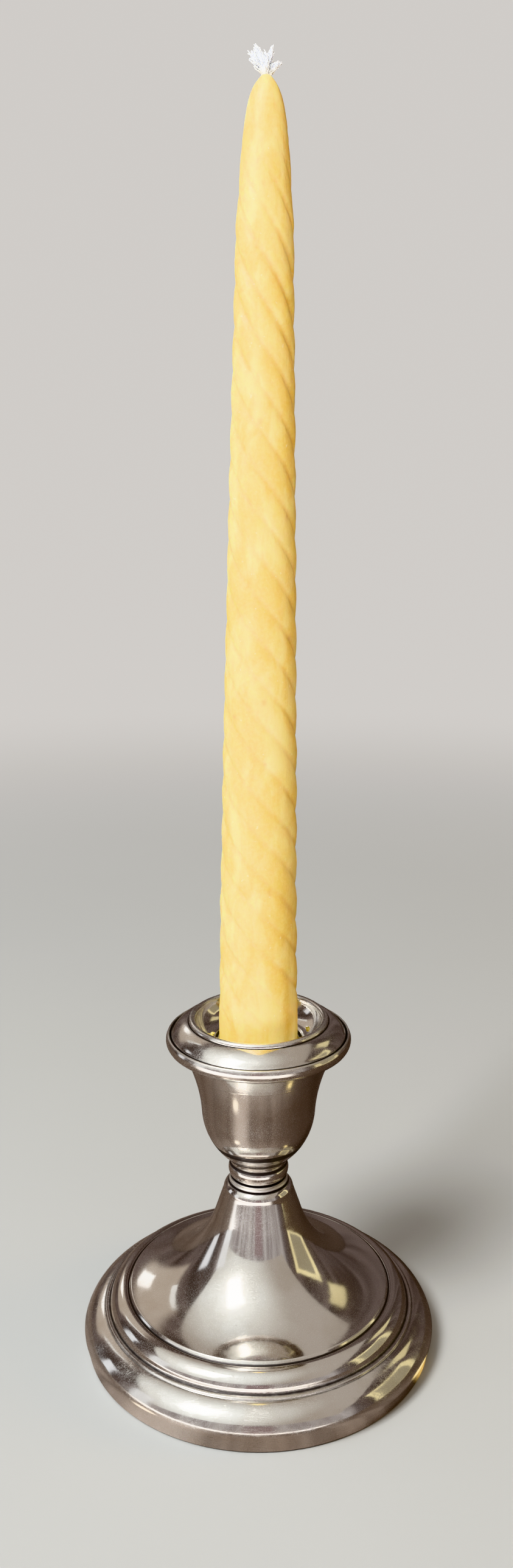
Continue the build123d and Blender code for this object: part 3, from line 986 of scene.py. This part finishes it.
def studio_sweep(material):
    """Backdrop that carries the floor up out of sight, seen by the camera only."""
    vertices = []
    for step in range(SWEEP_STEPS + 1):
        bend = step / SWEEP_STEPS
        reach = FLOOR_RADIUS + (SWEEP_RADIUS - FLOOR_RADIUS) * math.sin(bend * math.pi / 2)
        height = SWEEP_HEIGHT * (1 - math.cos(bend * math.pi / 2))
        turns = [360 * i / FLOOR_SEGMENTS for i in range(FLOOR_SEGMENTS)]
        vertices += [around(reach, turn, height) for turn in turns]
    faces = ring_faces(SWEEP_STEPS, FLOOR_SEGMENTS)
    sweep = add_mesh("studio_sweep", vertices, faces, material)
    for kind in ("diffuse", "glossy", "transmission", "shadow", "volume_scatter"):
        setattr(sweep, "visible_" + kind, False)


# Bright openings in the room: bearing and half width, height and half height and soft edge in
# degrees, and colour. Bearings run from the camera's side (0) towards the right.
OPENINGS = (
    (0, 7, -2, 24, 3, (0.30, 0.23, 0.235)),
    (-141, 12, 31, 14, 6, (0.50, 0.43, 0.37)),
    (-151, 3, 26, 3, 2, (1.7, 1.7, 1.7)),
    (-128, 2, 38, 8, 1, (0.85, 0.84, 0.82)),
    (-74, 5, 0, 26, 4, (0.85, 0.87, 0.90)),
    (-104, 4, 5, 16, 3, (0.85, 0.87, 0.92)),
    (90, 17, 14, 17, 1.5, (0.95, 0.84, 0.50)),
    (90, 12, 14, 13, 1.5, (0.36, 0.32, 0.23)),
    (122, 6, 38, 6, 3, (0.75, 0.66, 0.40)),
)


def studio_room():
    """World: a room with a pale ceiling and front wall, darker sides and a few openings, for
    light and reflections, and a plain pale tone for the camera."""
    world = bpy.data.worlds.new("studio")
    bpy.context.scene.world = world
    world.use_nodes = True
    tree = world.node_tree
    direction = add(tree, "TexCoord").outputs["Generated"]
    x, y, z = add(tree, "SeparateXYZ", {0: direction}).outputs
    side = bearing(tree, x, y)
    height = maths(tree, "DEGREES", maths(tree, "ARCSINE", z))

    across, up = maths(tree, "MULTIPLY", side, 0.11), maths(tree, "MULTIPLY", height, 0.012)
    spread = add(tree, "CombineXYZ", {0: across, 1: up}).outputs[0]
    streaks = band(tree, cloud(tree, spread, 1.0, detail=3), 0.35, 0.65)
    walls = mixed(tree, streaks, *WALL_TONES)
    front = mixed(tree, streaks, *FRONT_TONES)
    room = mixed(tree, pane(tree, side, -12, 62, 16), walls, front)

    rise = maths(tree, "MAXIMUM", z, 0.05)
    along, back = maths(tree, "DIVIDE", x, rise), maths(tree, "DIVIDE", y, rise)
    left_edge, right_edge = [
        maths(tree, "SUBTRACT", maths(tree, "MULTIPLY_ADD", along, slope, offset), back)
        for slope, offset in CEILING_SLANTS
    ]
    inside = maths(tree, "MINIMUM", left_edge, right_edge)
    inside = maths(tree, "MINIMUM", inside, maths(tree, "SUBTRACT", CEILING_BEHIND, back))
    inside = maths(tree, "MINIMUM", inside, maths(tree, "ADD", back, CEILING_IN_FRONT))
    places = {0: direction, 1: KEY_PLACE.normalized()}
    towards = add(tree, "VectorMath", places, operation="DOT_PRODUCT").outputs["Value"]
    ceiling = mixed(tree, band(tree, towards, 0.55, 1.0), *CEILING_TONES)
    room = mixed(tree, band(tree, inside, 0.0, CEILING_EDGE), room, ceiling)
    for middle, half, level, half_level, edge, colour in OPENINGS:
        across = pane(tree, side, middle, half, edge)
        share = maths(tree, "MULTIPLY", across, pane(tree, height, level, half_level, edge))
        room = mixed(tree, share, room, colour)
    seen = add(tree, "LightPath").outputs["Is Camera Ray"]
    join(tree, mixed(tree, seen, room, PALE), tree.nodes["Background"], "Color")


def lamp(name, place, aim, size, power, colour):
    """Soft rectangular lamp, hidden from the camera."""
    light = bpy.data.lights.new(name, "AREA")
    light.shape = "RECTANGLE"
    light.size, light.size_y = size
    light.energy = power
    light.color = colour
    made = bpy.data.objects.new(name, light)
    made.location = place
    made.rotation_euler = (Vector(aim) - place).to_track_quat("-Z", "Y").to_euler()
    made.visible_camera = False
    bpy.context.scene.collection.objects.link(made)
    return made


def lamps():
    """High key from the left front with a small bright spark for the silver, a warm lamp on
    the right, and a soft top light that only fills the shadows."""
    key_light = lamp("key", KEY_PLACE, (0, 0, 0.12), (0.5, 0.5), 34.5, (1.0, 0.98, 0.94))
    key_light.visible_glossy = False
    spark = lamp("spark", KEY_PLACE, (0, 0, 0.05), (0.40, 0.60), 20, (0.97, 0.985, 1.0))
    spark.visible_diffuse = False
    warm_light = lamp("warm_side", WARM_PLACE, (0, 0, 0.2), (0.4, 0.4), 3.4, (1.0, 0.56, 0.2))
    warm_light.visible_glossy = False
    top_light = lamp("overhead", TOP_PLACE, (0, 0, 0), (1.6, 1.6), 3, (1.0, 0.98, 0.96))
    top_light.visible_glossy = False


PHOTO_SIZE = (843, 2576)
FOCAL_PIXELS = 2086                 # the photograph's focal length
CAMERA_BACK = 0.3353                # metres in front of the stick's axis
CAMERA_HEIGHT = 0.248
CAMERA_PITCH = 13.26                # degrees below level
AXIS_OFFSET = 3.3                   # pixels from the middle of the frame to the stick's axis
SENSOR = 36.0


def camera():
    """Camera at the photograph's place and angle."""
    lens = bpy.data.cameras.new("camera")
    lens.sensor_width = SENSOR
    lens.lens = SENSOR * FOCAL_PIXELS / max(PHOTO_SIZE)
    lens.shift_x = -AXIS_OFFSET / max(PHOTO_SIZE)
    lens.clip_start, lens.clip_end = 0.01, 50
    made = bpy.data.objects.new("camera", lens)
    made.location = (0, -CAMERA_BACK, CAMERA_HEIGHT)
    made.rotation_euler = (math.radians(90 - CAMERA_PITCH), 0, 0)
    bpy.context.scene.collection.objects.link(made)
    bpy.context.scene.camera = made


# ---- The whole object ---------------------------------------------------------------------------
TURNED = (
    "foot_shell", "neck_collar", "neck_knop", "cup_shell", "cup_lip", "nozzle_pan", "candle_tube",
)
OUTLINES = {node: [softened(outline) for outline in cad_outlines(node)] for node in TURNED}


def silver_pieces():
    """All the turned silver, each piece beside its neighbours."""
    foot_look, cup_look, pan_look = [silver(name, **look) for name, look in SILVER_LOOKS.items()]
    spun("foot", "foot_shell", foot_look, 200, ("neck_collar",))
    spun("collar", "neck_collar", cup_look, 144, ("foot_shell", "neck_knop"))
    spun("knop", "neck_knop", cup_look, 144, ("neck_collar", "cup_shell"))
    spun("cup", "cup_shell", cup_look, 224, ("neck_knop", "cup_lip"), CUP_SCRIBES)
    spun("lip", "cup_lip", pan_look, 256, ("cup_shell", "nozzle_pan"))
    spun("nozzle", "nozzle_pan", pan_look, 256, ("cup_lip", "candle_tube"))
    spun("socket_tube", "candle_tube", pan_look, 160, ("nozzle_pan",))
    return pan_look


def hidden_pieces(silver_look):
    """Materials for the CAD nodes that stay as they are."""
    looks = {"steel": steel(), "cement": cement(), "silver": silver_look}
    for node in frame["nodes"].values():
        if node.hide_render:
            continue
        for place in node.material_slots:
            place.material = looks[place.material.name]


noise.seed_set(RIPPLE_SEED)
pan_silver = silver_pieces()
wax_look = wax()
candle(wax_look)
frayed_wick(cotton())
felt_disc(felt())
wax_crumbs(wax_look)
hidden_pieces(pan_silver)
studio_sweep(studio_floor())
studio_room()
lamps()
camera()
bpy.context.scene.view_settings.view_transform = "Khronos PBR Neutral"
